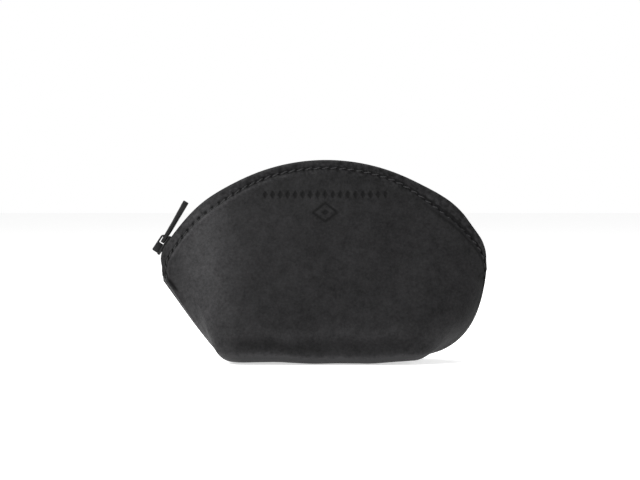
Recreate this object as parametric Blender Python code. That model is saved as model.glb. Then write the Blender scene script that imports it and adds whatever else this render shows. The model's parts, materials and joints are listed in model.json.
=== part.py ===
"""Arch-top leather coin purse with a zip round its arch, standing on a boxed base.

Two leather panels are sewn together up both sides and along the middle of the base.
The zip runs between their top edges. Its slider runs on a circle about the purse's
own arch centre. Above a soft fold each panel is a flap that leans outwards to open.
Front faces -Y, +X is to the right, the base rests on Z = 0.
"""
from math import atan2, cos, hypot, pi, radians, sin, sqrt

import bmesh
import bpy
from mathutils import Vector

MM = 0.001

# Overall sizes
HALF_WIDTH = 64.8 * MM          # middle of the purse to its side at the zip's ends
ARC_RADIUS = 77.4 * MM          # arch of the zip and of the leather's top edge
ARC_OFFSET_X = 1.0 * MM         # arch centre, to the right of the base's middle
ARC_CENTRE_Z = 3.2 * MM
ZIP_END_Z = 33.0 * MM           # where the opening stops and the side seam starts
END_RADIUS_LEFT = 9.0 * MM      # the arch turns down to the side seam on these
END_RADIUS_RIGHT = 14.6 * MM
BASE_LENGTH = 80.0 * MM
BASE_DEPTH = 44.0 * MM
BASE_CORNER = 9.0 * MM
BASE_FOLD = 5.0 * MM            # how far the fold round the base's edge reaches
CORNER_LIFT = 1.4 * MM          # the base's ends sit a little above the table
LIFT_START = 0.6                # share of the base's half length where that lift begins
SEAM_END_FOLDS = 1.8            # the base seam stops this many folds short of each end
FOLD_SHARE = 0.6                # of the base's half depth, the most that the fold may take
FRAME_SHIFT_X = 1.5 * MM        # puts the origin at the middle of the whole, slider included

# Leather
LEATHER = 1.8 * MM
BULGE_LEFT = (0.3 * MM, 1.2 * MM)       # upper and lower bulge of each wall
BULGE_FRONT = (-4.6 * MM, 7.6 * MM)
BULGE_RIGHT = (7.6 * MM, 10.6 * MM)
TURN_SHARE = 0.34               # of the wall's run, over which it turns from side to front
FOLD_Z = 58.0 * MM              # height of the soft fold that lets the mouth open
FOLD_MARGIN = 0.2 * MM          # the fold's axis is this far outside the leather there
CLEARANCE = 0.3 * MM            # gap between pieces that touch

# Zip
ZIP_GAP = 9.0 * MM              # between the leather's two top edges
PINCH_LENGTH = 3.5 * MM         # over which the gap closes at each end of the zip
CHAIN_START = 5.6 * MM          # first tooth, measured along the zip from its end
CHAIN_TOP = 0.3 * MM            # teeth lie this far below the leather's edge
CHAIN_THICKNESS = 1.6 * MM
TOOTH_PITCH = 2.4 * MM
TOOTH_WIDTH = 1.1 * MM
TOOTH_TIP_Y = 0.8 * MM
BEAD_Y = (1.7 * MM, 2.6 * MM)
TAPE = 0.5 * MM
TAPE_GAP = 0.6 * MM             # between the tape and the leather's inner face
TAPE_DEPTH = 9.0 * MM           # how far the tape runs down inside the leather
TAPE_TAPER = 12.0 * MM          # over which it narrows towards its two ends
TAPE_END_DEPTH = 3.0 * MM
STOP_LENGTH = 1.6 * MM
STOP_PROUD = 0.2 * MM           # a stop is this much thicker than the teeth, each side

# Thread
STITCH_INSET = 3.2 * MM         # stitch line below the leather's edge
THREAD_RADIUS = 0.25 * MM
SEAM_THREAD_RADIUS = 0.4 * MM
SEAM_RUN = (0.08, 0.82)         # shares of the wall that a side seam's thread spans
BASE_THREAD_FOLDS = 2.4         # the base seam's thread stops this many folds short
SEAM_STEPS = 8

# Slider and puller
SLIDER_ANGLE = 146.3            # degrees from +X, at rest
SLIDER_LENGTH = 8.6 * MM
SLIDER_WIDTH = 7.6 * MM
SLIDER_PLATE = 0.9 * MM
SLIDER_ABOVE = 0.1 * MM         # upper plate's underside above the leather's edge
PLATE_OUTLINE = ((-1.0, 0.8), (-0.5, 1.0), (0.2, 1.0), (1.0, 0.72))     # shares of half sizes
LOWER_PLATE_LENGTH = 6.2 * MM
LOWER_PLATE_WIDTH = 5.4 * MM
LOWER_PLATE_CLEARANCE = 0.9 * MM
BRIDGE_WIDTH = 1.0 * MM
BRIDGE_LENGTH = 1.8 * MM
CROWN_BACK = 4.1 * MM           # from the slider's middle to the crown's solid end
CROWN_FRONT = 3.5 * MM          # and to its open end
CROWN_BLOCK = 3.1 * MM          # length of the solid end
CROWN_WIDTH = 2.0 * MM
CROWN_WALL = 0.7 * MM
CROWN_SPACE = 2.1 * MM          # height of the window, which the puller's bar lies in
PIVOT_FORWARD = 1.0 * MM
PIVOT_LIFT = 0.9 * MM           # above the slider's upper plate
PULLER_LIFT = 4.1               # degrees, outwards from the slider's top at rest
PULLER_LENGTH = 18.5 * MM
PULLER_WIDTH = 5.4 * MM
PULLER_TIP_WIDTH = 4.4 * MM
EYE_END = 0.38                  # shares of the puller's length: its eye's sides end,
WAIST = 0.46                    # its narrower part begins,
TIP_START = 0.94                # and its tip is cut back to this share of its width
TIP_CUT = 0.6
WAIST_SHARE = 0.8               # of the puller's width
PULLER_THICKNESS = 1.4 * MM
PULLER_BAR = 0.9 * MM
EYE_MARGIN = 0.4 * MM           # between the crown and the puller's eye, each side

# Facets
COLUMNS = 36
CLOSE_COLUMNS = 6               # half columns at each end of the zip
WALL_ROWS = 8
WALL_SHARE = 0.96               # of the wall, that the even rows divide
FOOT_ROWS = (0.93, 0.965, 1.0, 2.0)
TUBE_SIDES = 5


def clear_scene():
    for obj in list(bpy.data.objects):
        bpy.data.objects.remove(obj, do_unlink=True)


def finish(name, colour, roughness, metallic=0.0):
    material = bpy.data.materials.new(name)
    material.use_nodes = True
    shader = material.node_tree.nodes["Principled BSDF"]
    shader.inputs["Base Color"].default_value = (*colour, 1.0)
    shader.inputs["Roughness"].default_value = roughness
    shader.inputs["Metallic"].default_value = metallic
    return material


def smooth_step(t):
    t = min(max(t, 0.0), 1.0)
    return t * t * (3.0 - 2.0 * t)


def add_object(name, bm, material, parent=None, smooth=True):
    bmesh.ops.remove_doubles(bm, verts=bm.verts[:], dist=0.00001)
    bmesh.ops.recalc_face_normals(bm, faces=bm.faces[:])
    if bm.calc_volume(signed=True) < 0.0:
        bmesh.ops.reverse_faces(bm, faces=bm.faces[:])
    mesh = bpy.data.meshes.new(name)
    bm.to_mesh(mesh)
    bm.free()
    mesh.materials.append(material)
    if smooth:
        mesh.shade_smooth()
        mesh.set_sharp_from_angle(angle=radians(35.0))
    obj = bpy.data.objects.new(name, mesh)
    bpy.context.collection.objects.link(obj)
    obj.parent = parent
    return obj


# ---------------------------------------------------------------- the zip's path

class ZipPath:
    """Runs up the left side, over the arch and down the right side, by length."""

    def __init__(self):
        self.centre = Vector((ARC_OFFSET_X, 0.0, ARC_CENTRE_Z))
        self.left_angle, self.left_centre = self.end_arc(-1.0, END_RADIUS_LEFT)
        self.right_angle, self.right_centre = self.end_arc(1.0, END_RADIUS_RIGHT)
        self.left_straight = self.left_centre.z - ZIP_END_Z
        self.left_turn = END_RADIUS_LEFT * (pi - self.left_angle)
        self.arch = ARC_RADIUS * (self.left_angle - self.right_angle)
        self.right_turn = END_RADIUS_RIGHT * self.right_angle
        self.right_straight = self.right_centre.z - ZIP_END_Z
        self.arch_start = self.left_straight + self.left_turn
        self.arch_end = self.arch_start + self.arch
        self.length = self.arch_end + self.right_turn + self.right_straight

    def end_arc(self, side, radius):
        x = side * (HALF_WIDTH - radius)
        reach = ARC_RADIUS - radius
        dx = x - self.centre.x
        dz = sqrt(reach * reach - dx * dx)
        return atan2(dz, dx), Vector((x, 0.0, self.centre.z + dz))

    def at(self, d):
        """Point and outward direction, in the plane of the zip, at length d."""
        if d < self.left_straight:
            return Vector((-HALF_WIDTH, 0.0, ZIP_END_Z + d)), Vector((-1.0, 0.0, 0.0))
        if d < self.arch_start:
            return self.on_circle(self.left_centre, END_RADIUS_LEFT,
                                  pi - (d - self.left_straight) / END_RADIUS_LEFT)
        if d < self.arch_end:
            return self.on_circle(self.centre, ARC_RADIUS,
                                  self.left_angle - (d - self.arch_start) / ARC_RADIUS)
        if d < self.arch_end + self.right_turn:
            return self.on_circle(self.right_centre, END_RADIUS_RIGHT,
                                  self.right_angle - (d - self.arch_end) / END_RADIUS_RIGHT)
        return Vector((HALF_WIDTH, 0.0, ZIP_END_Z + self.length - d)), Vector((1.0, 0.0, 0.0))

    @staticmethod
    def on_circle(centre, radius, angle):
        outward = Vector((cos(angle), 0.0, sin(angle)))
        return centre + outward * radius, outward

    def pinch(self, d):
        """0 at the ends of the zip, where the edges meet, and 1 along the open part."""
        return smooth_step(min(d, self.length - d) / PINCH_LENGTH)


ZIP = ZipPath()


def chain_point(d, y, below):
    """A point of the zip: y across it, and below the leather's top edge."""
    point, outward = ZIP.at(d)
    point = point - outward * below
    return Vector((point.x, y, point.z))


# ---------------------------------------------------------------- the panel's surface

def base_outline(s):
    """Front half of the base's outline, from the left seam (s=0) to the right (s=1)."""
    side = BASE_DEPTH / 2 - BASE_CORNER
    corner = BASE_CORNER * pi / 2
    front = BASE_LENGTH / 2 - BASE_CORNER
    mirrored = s > 0.5
    run = (1.0 - s if mirrored else s) * 2.0 * (side + corner + front)
    if run < side:
        x, y = -BASE_LENGTH / 2, -run
    elif run < side + corner:
        turn = (run - side) / BASE_CORNER
        x = -BASE_LENGTH / 2 + BASE_CORNER * (1.0 - cos(turn))
        y = -side - BASE_CORNER * sin(turn)
    else:
        x, y = -front + run - side - corner, -BASE_DEPTH / 2
    y = min(y, -CLEARANCE / 2)
    lift = CORNER_LIFT * smooth_step((abs(x) / (BASE_LENGTH / 2) - LIFT_START) / (1.0 - LIFT_START))
    return Vector((-x if mirrored else x, y, lift))


def facing(s):
    """Horizontal direction that the wall faces, turning from -X through -Y to +X."""
    turn = smooth_step(min(s, 1.0 - s) / TURN_SHARE)
    turn = turn if s < 0.5 else 2.0 - turn
    angle = pi + turn * pi / 2
    return Vector((cos(angle), sin(angle), 0.0))


def wall_curve(s):
    """Control points of the wall's outer face, from its top edge down to the base."""
    d = s * ZIP.length
    point, _ = ZIP.at(d)
    open_y = ZIP_GAP / 2 + LEATHER - CLEARANCE / 2
    top = Vector((point.x, -CLEARANCE / 2 - open_y * ZIP.pinch(d), point.z))
    foot = base_outline(s)
    chord = (foot - top).normalized()
    out = facing(s)
    left = max(-out.x, 0.0) ** 2
    right = max(out.x, 0.0) ** 2
    upper, lower = (left * BULGE_LEFT[i] + out.y ** 2 * BULGE_FRONT[i] + right * BULGE_RIGHT[i]
                    for i in (0, 1))
    square = (out - chord * out.dot(chord)).normalized()
    first = top.lerp(foot, 1 / 3) + square * upper
    second = top.lerp(foot, 2 / 3) + square * lower
    return top, first, second, foot


def bezier(points, t):
    a, b, c, d = points
    u = 1.0 - t
    return a * u ** 3 + b * (3 * u * u * t) + c * (3 * u * t * t) + d * t ** 3


def panel_point(s, v):
    """Outer face: v 0 to 1 down the wall and round its foot, 1 to 2 across the base."""
    points = wall_curve(s)
    foot = points[3]
    seam_half = BASE_LENGTH / 2 - SEAM_END_FOLDS * BASE_FOLD
    seam = Vector(((2.0 * s - 1.0) * seam_half, -CLEARANCE / 2, 0.0))
    wall_end = 1.0 - BASE_FOLD / (points[0] - foot).length
    inward = (seam - foot).normalized()
    if v <= wall_end:
        return bezier(points, v)
    start = bezier(points, wall_end)
    flat = foot + inward * min(BASE_FOLD, (seam - foot).length * FOLD_SHARE)
    flat.z = 0.0
    if v <= 1.0:
        t = (v - wall_end) / (1.0 - wall_end)
        return start * (1 - t) ** 2 + foot * (2 * t * (1 - t)) + flat * t * t
    return flat.lerp(seam, v - 1.0)


def panel_normal(s, v):
    step = 0.002
    s0, s1 = max(s - step, 0.0), min(s + step, 1.0)
    v0, v1 = max(v - step, 0.0), min(v + step, 2.0)
    along = panel_point(s1, v) - panel_point(s0, v)
    down = panel_point(s, v1) - panel_point(s, v0)
    return along.cross(down).normalized() * -1.0


def inside(s, v, depth):
    """A point under the outer face by depth, kept on its own side of the seam."""
    point = panel_point(s, v) - panel_normal(s, v) * depth
    point.y = min(point.y, -CLEARANCE / 2)
    return point


def v_below_edge(s, distance):
    """The v at which the wall has run this far down from its top edge."""
    step = 0.005
    v, run = 0.0, 0.0
    last = panel_point(s, 0.0)
    while run < distance:
        v += step
        point = panel_point(s, v)
        run += (point - last).length
        last = point
    return v


def stations(start=0.0):
    """The columns that every sheet shares, closer together where the zip's ends pinch."""
    steps = [c / 2 for c in range(2 * COLUMNS + 1)
             if c % 2 == 0 or min(c, 2 * COLUMNS - c) <= CLOSE_COLUMNS]
    first = start / ZIP.length
    middle = [c / COLUMNS for c in steps if first + 0.003 < c / COLUMNS < 0.997 - first]
    return [first] + middle + [1.0 - first]


# ---------------------------------------------------------------- mesh helpers

def shifted(point, side):
    """Front is side -1, back is side +1; the whole is moved to the frame's origin."""
    return Vector((point.x + FRAME_SHIFT_X, point.y * -side, point.z))


def shell(outer, inner, side):
    """A closed sheet from two grids of points, rows by columns."""
    bm = bmesh.new()
    rows, columns = len(outer), len(outer[0])
    faces = [[[bm.verts.new(shifted(p, side)) for p in row] for row in grid]
             for grid in (outer, inner)]
    for grid in faces:
        for r in range(rows - 1):
            for c in range(columns - 1):
                bm.faces.new((grid[r][c], grid[r][c + 1], grid[r + 1][c + 1], grid[r + 1][c]))
    a, b = faces
    for c in range(columns - 1):
        bm.faces.new((a[0][c], a[0][c + 1], b[0][c + 1], b[0][c]))
        bm.faces.new((a[-1][c], a[-1][c + 1], b[-1][c + 1], b[-1][c]))
    for r in range(rows - 1):
        bm.faces.new((a[r][0], a[r + 1][0], b[r + 1][0], b[r][0]))
        bm.faces.new((a[r][-1], a[r + 1][-1], b[r + 1][-1], b[r][-1]))
    bmesh.ops.recalc_face_normals(bm, faces=bm.faces[:])
    return bm


def tube(points, radius, side):
    """A closed round tube through the points."""
    bm = bmesh.new()
    rings = []
    sides = TUBE_SIDES
    for i, point in enumerate(points):
        along = (points[min(i + 1, len(points) - 1)] - points[max(i - 1, 0)]).normalized()
        across = along.cross(Vector((0.0, 1.0, 0.0))).normalized()
        third = along.cross(across)
        rings.append([bm.verts.new(shifted(point + (across * cos(k * 2 * pi / sides)
                                                    + third * sin(k * 2 * pi / sides)) * radius,
                                           side)) for k in range(sides)])
    for first, second in zip(rings, rings[1:]):
        for k in range(sides):
            n = (k + 1) % sides
            bm.faces.new((first[k], first[n], second[n], second[k]))
    bm.faces.new(rings[0])
    bm.faces.new(rings[-1])
    bmesh.ops.recalc_face_normals(bm, faces=bm.faces[:])
    return bm


def keep(bm, point, away):
    """A copy of the closed mesh with what lies on the away side of a plane cut off."""
    part = bm.copy()
    geometry = part.verts[:] + part.edges[:] + part.faces[:]
    bmesh.ops.bisect_plane(part, geom=geometry, dist=1e-7, plane_co=point, plane_no=away,
                           clear_outer=True)
    open_edges = [e for e in part.edges if e.is_boundary]
    bmesh.ops.holes_fill(part, edges=open_edges, sides=0)
    return part


def add_to_flap(name, bm, material, axis):
    """The mesh is built in place, so the object's location undoes that of its axis."""
    obj = add_object(name, bm, material, axis)
    obj.location = -axis.location
    return obj


def split_at_fold(bm, names, material, axis):
    """Makes the left, top and right pieces of something that runs round the arch."""
    up, right = Vector((0.0, 0.0, 1.0)), Vector((1.0, 0.0, 0.0))
    half = up * (CLEARANCE / 2)
    fold = up * FOLD_Z
    low = keep(bm, fold - half, up)
    add_object(names[0], keep(low, Vector(), right), material)
    add_object(names[2], keep(low, Vector(), -right), material)
    add_to_flap(names[1], keep(bm, fold + half, -up), material, axis)
    bm.free()
    low.free()


def extrude_outline(name, outline, low, high, plane, material, parent):
    """A flat plate: an outline of two coordinates, thick along the third."""
    bm = bmesh.new()

    def place(a, b, c):
        return Vector((a, b, c)) if plane == "XY" else Vector((a, c, b))

    bottom = bm.faces.new([bm.verts.new(place(a, b, low)) for a, b in outline])
    made = bmesh.ops.extrude_face_region(bm, geom=[bottom])
    top = [g for g in made["geom"] if isinstance(g, bmesh.types.BMVert)]
    bmesh.ops.translate(bm, verts=top, vec=place(0.0, 0.0, high - low))
    return add_object(name, bm, material, parent, smooth=False)


def cutter(obj):
    obj.hide_render = True
    obj.display_type = "WIRE"
    return obj


def boolean(obj, other, operation):
    modifier = obj.modifiers.new(other.name, "BOOLEAN")
    modifier.object = other
    modifier.operation = operation


# ---------------------------------------------------------------- leather panels

def fold_axis(side, word):
    """An empty on the line that the flap leans out about, just outside the leather."""
    middle = 0.5
    low, high = 0.0, 1.0
    for _ in range(40):
        v = (low + high) / 2
        if panel_point(middle, v).z > FOLD_Z:
            low = v
        else:
            high = v
    axis = bpy.data.objects.new(f"{word}_fold_axis", None)
    bpy.context.collection.objects.link(axis)
    axis.location = shifted(Vector((0.0, panel_point(middle, low).y - FOLD_MARGIN, FOLD_Z)), side)
    return axis


def make_panel(side, word, leather, axis):
    rows = [WALL_SHARE * r / WALL_ROWS for r in range(WALL_ROWS)] + list(FOOT_ROWS)
    outer = [[panel_point(s, v) for s in stations()] for v in rows]
    inner = [[inside(s, v, LEATHER) for s in stations()] for v in rows]
    bm = shell(outer, inner, side)
    up = Vector((0.0, 0.0, 1.0))
    half = up * (CLEARANCE / 2)
    fold = up * FOLD_Z
    add_object(f"{word}_panel", keep(bm, fold - half, up), leather)
    add_to_flap(f"{word}_flap", keep(bm, fold + half, -up), leather, axis)
    bm.free()


def make_rim_thread(side, word, thread, axis):
    points = []
    for s in stations(PINCH_LENGTH + CLEARANCE):
        points.append(inside(s, v_below_edge(s, STITCH_INSET), -(CLEARANCE + THREAD_RADIUS)))
    names = [f"{word}_thread_{part}" for part in ("left", "top", "right")]
    split_at_fold(tube(points, THREAD_RADIUS, side), names, thread, axis)


def make_seam_threads(thread):
    depth = LEATHER + CLEARANCE + SEAM_THREAD_RADIUS
    for name, s, direction in (("left_seam_thread", 0.0, 1.0), ("right_seam_thread", 1.0, -1.0)):
        points = []
        for i in range(SEAM_STEPS + 1):
            v = SEAM_RUN[0] + (SEAM_RUN[1] - SEAM_RUN[0]) * i / SEAM_STEPS
            down = panel_point(s, v + 0.01) - panel_point(s, v - 0.01)
            inward = Vector((-down.z, 0.0, down.x)).normalized() * direction
            point = panel_point(s, v) + inward * depth
            points.append(Vector((point.x, 0.0, point.z)))
        add_object(name, tube(points, SEAM_THREAD_RADIUS, 1.0), thread)
    half = BASE_LENGTH / 2 - BASE_THREAD_FOLDS * BASE_FOLD
    points = [Vector((half * (2.0 * i / SEAM_STEPS - 1.0), 0.0, depth))
              for i in range(SEAM_STEPS + 1)]
    add_object("base_seam_thread", tube(points, SEAM_THREAD_RADIUS, 1.0), thread)


# ---------------------------------------------------------------- zip

def make_tape(side, word, cloth, axis):
    middle = CHAIN_TOP + CHAIN_THICKNESS / 2
    first = PINCH_LENGTH + 3 * TAPE_GAP
    inner_edge = BEAD_Y[1] + CLEARANCE
    bend = ZIP_GAP / 2 - TAPE_GAP
    depth = LEATHER + TAPE_GAP
    outer, inner = [[] for _ in range(4)], [[] for _ in range(4)]
    for s in stations(first):
        d = s * ZIP.length
        outer[0].append(chain_point(d, -inner_edge, middle - TAPE / 2))
        inner[0].append(chain_point(d, -inner_edge, middle + TAPE / 2))
        outer[1].append(chain_point(d, -bend, middle - TAPE / 2))
        inner[1].append(chain_point(d, -bend + TAPE, middle + TAPE / 2))
        full = smooth_step((min(d, ZIP.length - d) - first) / TAPE_TAPER)
        reach = TAPE_END_DEPTH + (TAPE_DEPTH - TAPE_END_DEPTH) * full
        for row, share in ((2, 0.3), (3, 1.0)):
            v = v_below_edge(s, share * reach)
            outer[row].append(inside(s, v, depth))
            inner[row].append(inside(s, v, depth + TAPE))
    names = [f"{word}_tape_{part}" for part in ("left", "top", "right")]
    split_at_fold(shell(outer, inner, side), names, cloth, axis)


def make_teeth(side, word, nylon, axis):
    """A comb: a bead along the tape with teeth that reach towards the other side."""
    offset = 0.0 if side < 0 else TOOTH_PITCH / 2
    count = int((ZIP.length - 2 * CHAIN_START - TOOTH_PITCH) / TOOTH_PITCH)
    start = (ZIP.length - count * TOOTH_PITCH) / 2 - TOOTH_PITCH / 4 + offset
    top, bottom = CHAIN_TOP, CHAIN_TOP + CHAIN_THICKNESS
    bm = bmesh.new()

    def column(d, reach):
        ends = [(y, below) for below in (top, bottom) for y in reach]
        return [bm.verts.new(shifted(chain_point(d, -y, below), side)) for y, below in ends]

    previous = None
    bead = (BEAD_Y[1], BEAD_Y[0])
    tooth = (BEAD_Y[1], BEAD_Y[0], TOOTH_TIP_Y)
    for i in range(count):
        a = start + i * TOOTH_PITCH
        left, right = column(a, tooth), column(a + TOOTH_WIDTH, tooth)
        for k in (0, 1):
            bm.faces.new((left[k], left[k + 1], right[k + 1], right[k]))
            bm.faces.new((left[k + 3], left[k + 4], right[k + 4], right[k + 3]))
        bm.faces.new((left[2], right[2], right[5], left[5]))
        bm.faces.new((left[0], right[0], right[3], left[3]))
        bm.faces.new((left[1], left[2], left[5], left[4]))
        bm.faces.new((right[1], right[2], right[5], right[4]))
        if previous:
            bm.faces.new((previous[0], previous[1], left[1], left[0]))
            bm.faces.new((previous[3], previous[4], left[4], left[3]))
            bm.faces.new((previous[0], left[0], left[3], previous[3]))
            bm.faces.new((previous[1], left[1], left[4], previous[4]))
        else:
            bm.faces.new((left[0], left[1], left[4], left[3]))
        previous = right
    bm.faces.new((previous[0], previous[1], previous[4], previous[3]))
    bmesh.ops.recalc_face_normals(bm, faces=bm.faces[:])
    names = [f"{word}_teeth_{part}" for part in ("left", "top", "right")]
    split_at_fold(bm, names, nylon, axis)


def make_stop(name, middle, reach, nylon):
    """A small clip over the chain at one end of the zip."""
    top, bottom = CHAIN_TOP - STOP_PROUD, CHAIN_TOP + CHAIN_THICKNESS + STOP_PROUD
    bm = bmesh.new()
    rings = []
    for d in (middle - STOP_LENGTH / 2, middle + STOP_LENGTH / 2):
        corners = ((reach[0], top), (reach[1], top), (reach[1], bottom), (reach[0], bottom))
        rings.append([bm.verts.new(shifted(chain_point(d, y, below), -1.0))
                      for y, below in corners])
    for k in range(4):
        n = (k + 1) % 4
        bm.faces.new((rings[0][k], rings[0][n], rings[1][n], rings[1][k]))
    bm.faces.new(rings[0])
    bm.faces.new(rings[1])
    add_object(name, bm, nylon, smooth=False)


def make_stops(nylon):
    low = CHAIN_START - 2 * CLEARANCE - STOP_LENGTH / 2
    make_stop("front_top_stop", low, (-BEAD_Y[1], -TOOTH_TIP_Y / 2), nylon)
    make_stop("back_top_stop", low, (TOOTH_TIP_Y / 2, BEAD_Y[1]), nylon)
    make_stop("bottom_stop", ZIP.length - low, (-BEAD_Y[1], BEAD_Y[1]), nylon)


# ---------------------------------------------------------------- slider and puller

def make_slider(metal):
    """Built with X along the zip, Z out from the arch centre, on the arch's own axis."""
    axis = bpy.data.objects.new("slider_axis", None)
    bpy.context.collection.objects.link(axis)
    axis.location = (ARC_OFFSET_X + FRAME_SHIFT_X, 0.0, ARC_CENTRE_Z)
    axis.rotation_euler.y = radians(90.0 - SLIDER_ANGLE)

    under = ARC_RADIUS + SLIDER_ABOVE
    top = under + SLIDER_PLATE
    lower_top = ARC_RADIUS - CHAIN_TOP - CHAIN_THICKNESS - LOWER_PLATE_CLEARANCE
    half = SLIDER_LENGTH / 2
    wide = SLIDER_WIDTH / 2
    outline = [(x * half, -y * wide) for x, y in PLATE_OUTLINE]
    outline += [(x * half, y * wide) for x, y in reversed(PLATE_OUTLINE)]
    body = extrude_outline("slider_body", outline, under, top, "XY", metal, axis)
    share = LOWER_PLATE_LENGTH / SLIDER_LENGTH
    slim = LOWER_PLATE_WIDTH / SLIDER_WIDTH
    lower = extrude_outline("lower_plate_shape", [(x * share, y * slim) for x, y in outline],
                            lower_top - SLIDER_PLATE, lower_top, "XY", metal, axis)
    start = -LOWER_PLATE_LENGTH / 2 + CLEARANCE
    post = [(start, -BRIDGE_WIDTH / 2), (start + BRIDGE_LENGTH, -BRIDGE_WIDTH / 2),
            (start + BRIDGE_LENGTH, BRIDGE_WIDTH / 2), (start, BRIDGE_WIDTH / 2)]
    bridge = extrude_outline("bridge_shape", post, lower_top - SLIDER_PLATE / 2,
                             under + SLIDER_PLATE / 2, "XY", metal, axis)
    boolean(body, cutter(bridge), "UNION")
    boolean(body, cutter(lower), "UNION")

    foot = top + CLEARANCE
    ceiling = top + CROWN_SPACE
    roof = ceiling + CROWN_WALL
    block = CROWN_BLOCK - CROWN_BACK
    front = CROWN_FRONT - CROWN_WALL
    round_off = CROWN_WALL / 2
    side_view = [(-CROWN_BACK, foot), (block, foot), (block, ceiling - round_off),
                 (block + round_off, ceiling), (front - round_off, ceiling),
                 (front, ceiling - round_off), (front, foot), (CROWN_FRONT, foot),
                 (CROWN_FRONT, roof - CROWN_WALL), (front, roof),
                 (round_off - CROWN_BACK, roof), (-CROWN_BACK, roof - round_off)]
    extrude_outline("slider_crown", side_view, -CROWN_WIDTH / 2, CROWN_WIDTH / 2, "XZ",
                    metal, axis)
    return axis, top


def make_puller(axis, plate_top, metal):
    """Built with X along its length from the bar, on the bar's own axis."""
    pivot = bpy.data.objects.new("puller_axis", None)
    bpy.context.collection.objects.link(pivot)
    pivot.parent = axis
    pivot.location = (PIVOT_FORWARD, 0.0, plate_top + PIVOT_LIFT)
    pivot.rotation_euler.y = -radians(PULLER_LIFT)

    back = -PULLER_BAR / 2
    wide, tip = PULLER_WIDTH / 2, PULLER_TIP_WIDTH / 2
    edge = [(back, wide), (EYE_END * PULLER_LENGTH, wide),
            (WAIST * PULLER_LENGTH, WAIST_SHARE * wide), (TIP_START * PULLER_LENGTH, tip),
            (PULLER_LENGTH, TIP_CUT * tip)]
    outline = [(x, -y) for x, y in edge] + edge[::-1]
    half = PULLER_THICKNESS / 2
    puller = extrude_outline("puller", outline, -half, half, "XY", metal, pivot)
    eye = CROWN_WIDTH / 2 + EYE_MARGIN
    near = PULLER_BAR / 2
    roof = CROWN_SPACE + CROWN_WALL - PIVOT_LIFT
    far = hypot(CROWN_BACK + PIVOT_FORWARD, roof) + EYE_MARGIN
    window = extrude_outline("eye_shape", [(near, -eye), (far, -eye), (far, eye), (near, eye)],
                             -2 * half, 2 * half, "XY", metal, pivot)
    boolean(puller, cutter(window), "DIFFERENCE")


def main():
    """The front faces -Y: its side is -1, and the back's is 1."""
    clear_scene()
    leather = finish("black_leather", (0.028, 0.027, 0.028), 0.5)
    thread = finish("black_thread", (0.02, 0.02, 0.021), 0.7)
    cloth = finish("zip_tape_cloth", (0.016, 0.016, 0.017), 0.85)
    nylon = finish("zip_nylon", (0.02, 0.02, 0.021), 0.4)
    metal = finish("black_enamelled_metal", (0.03, 0.03, 0.031), 0.35, 0.6)
    for side, word in ((-1.0, "front"), (1.0, "back")):
        fold = fold_axis(side, word)
        make_panel(side, word, leather, fold)
        make_rim_thread(side, word, thread, fold)
        make_tape(side, word, cloth, fold)
        make_teeth(side, word, nylon, fold)
    make_seam_threads(thread)
    make_stops(nylon)
    axis, plate_top = make_slider(metal)
    make_puller(axis, plate_top, metal)


main()
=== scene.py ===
import json
from math import cos, pi, radians, sin, sqrt

import bmesh
import bpy
import numpy as np
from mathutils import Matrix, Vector, noise


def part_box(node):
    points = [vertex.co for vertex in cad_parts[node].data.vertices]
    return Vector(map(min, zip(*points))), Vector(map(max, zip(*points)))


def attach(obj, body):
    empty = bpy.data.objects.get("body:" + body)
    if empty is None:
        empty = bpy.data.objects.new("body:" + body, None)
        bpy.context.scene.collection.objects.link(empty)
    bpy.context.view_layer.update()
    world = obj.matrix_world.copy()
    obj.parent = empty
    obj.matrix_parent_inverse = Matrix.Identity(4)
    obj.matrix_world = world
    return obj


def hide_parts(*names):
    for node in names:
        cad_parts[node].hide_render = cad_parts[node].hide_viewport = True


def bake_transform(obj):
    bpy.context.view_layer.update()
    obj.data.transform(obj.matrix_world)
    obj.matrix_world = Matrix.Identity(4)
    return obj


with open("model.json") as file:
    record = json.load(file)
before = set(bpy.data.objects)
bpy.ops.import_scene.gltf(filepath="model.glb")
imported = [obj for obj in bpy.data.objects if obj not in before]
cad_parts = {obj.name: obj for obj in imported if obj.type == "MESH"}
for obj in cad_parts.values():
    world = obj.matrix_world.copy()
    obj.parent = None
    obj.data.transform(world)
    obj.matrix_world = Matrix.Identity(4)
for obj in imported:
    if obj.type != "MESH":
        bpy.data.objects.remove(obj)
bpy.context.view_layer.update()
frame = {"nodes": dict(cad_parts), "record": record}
scene = bpy.context.scene


# ------------------------------------------------------------------ table, lights and camera
# The purse stands on a pale seamless table in a light tent: white all round, with a broad
# lamp from the upper left that picks out the left side and the top of the arch.

camera_height = 0.0486
camera_side = 0.0001
camera_lift = radians(1.5)
camera_distance = 0.963
lens = 135.0
table_side = 8.0
table_drop = 0.0003
table_glow = 0.62
tent_fill = 0.40


def area_lamp(name, place, aim, size, watts):
    lamp = bpy.data.lights.new(name, "AREA")
    lamp.shape = "DISK"
    lamp.size = size
    lamp.energy = watts
    obj = bpy.data.objects.new(name, lamp)
    scene.collection.objects.link(obj)
    obj.location = place
    obj.rotation_euler = (Vector(aim) - Vector(place)).to_track_quat("-Z", "Y").to_euler()


bpy.ops.object.select_all(action="DESELECT")
bpy.ops.mesh.primitive_plane_add(size=table_side, location=(0.0, 0.0, -table_drop))
table = bpy.context.object
table.name = "pale_table"
table_finish = bpy.data.materials.new("pale_table")
table_finish.use_nodes = True
table_shader = table_finish.node_tree.nodes["Principled BSDF"]
table_shader.inputs["Base Color"].default_value = (0.8, 0.8, 0.8, 1.0)
table_shader.inputs["Emission Color"].default_value = (1.0, 1.0, 1.0, 1.0)
table_shader.inputs["Emission Strength"].default_value = table_glow
table_shader.inputs["Roughness"].default_value = 0.9
table_shader.inputs["Specular IOR Level"].default_value = 0.1
table.data.materials.append(table_finish)

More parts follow.
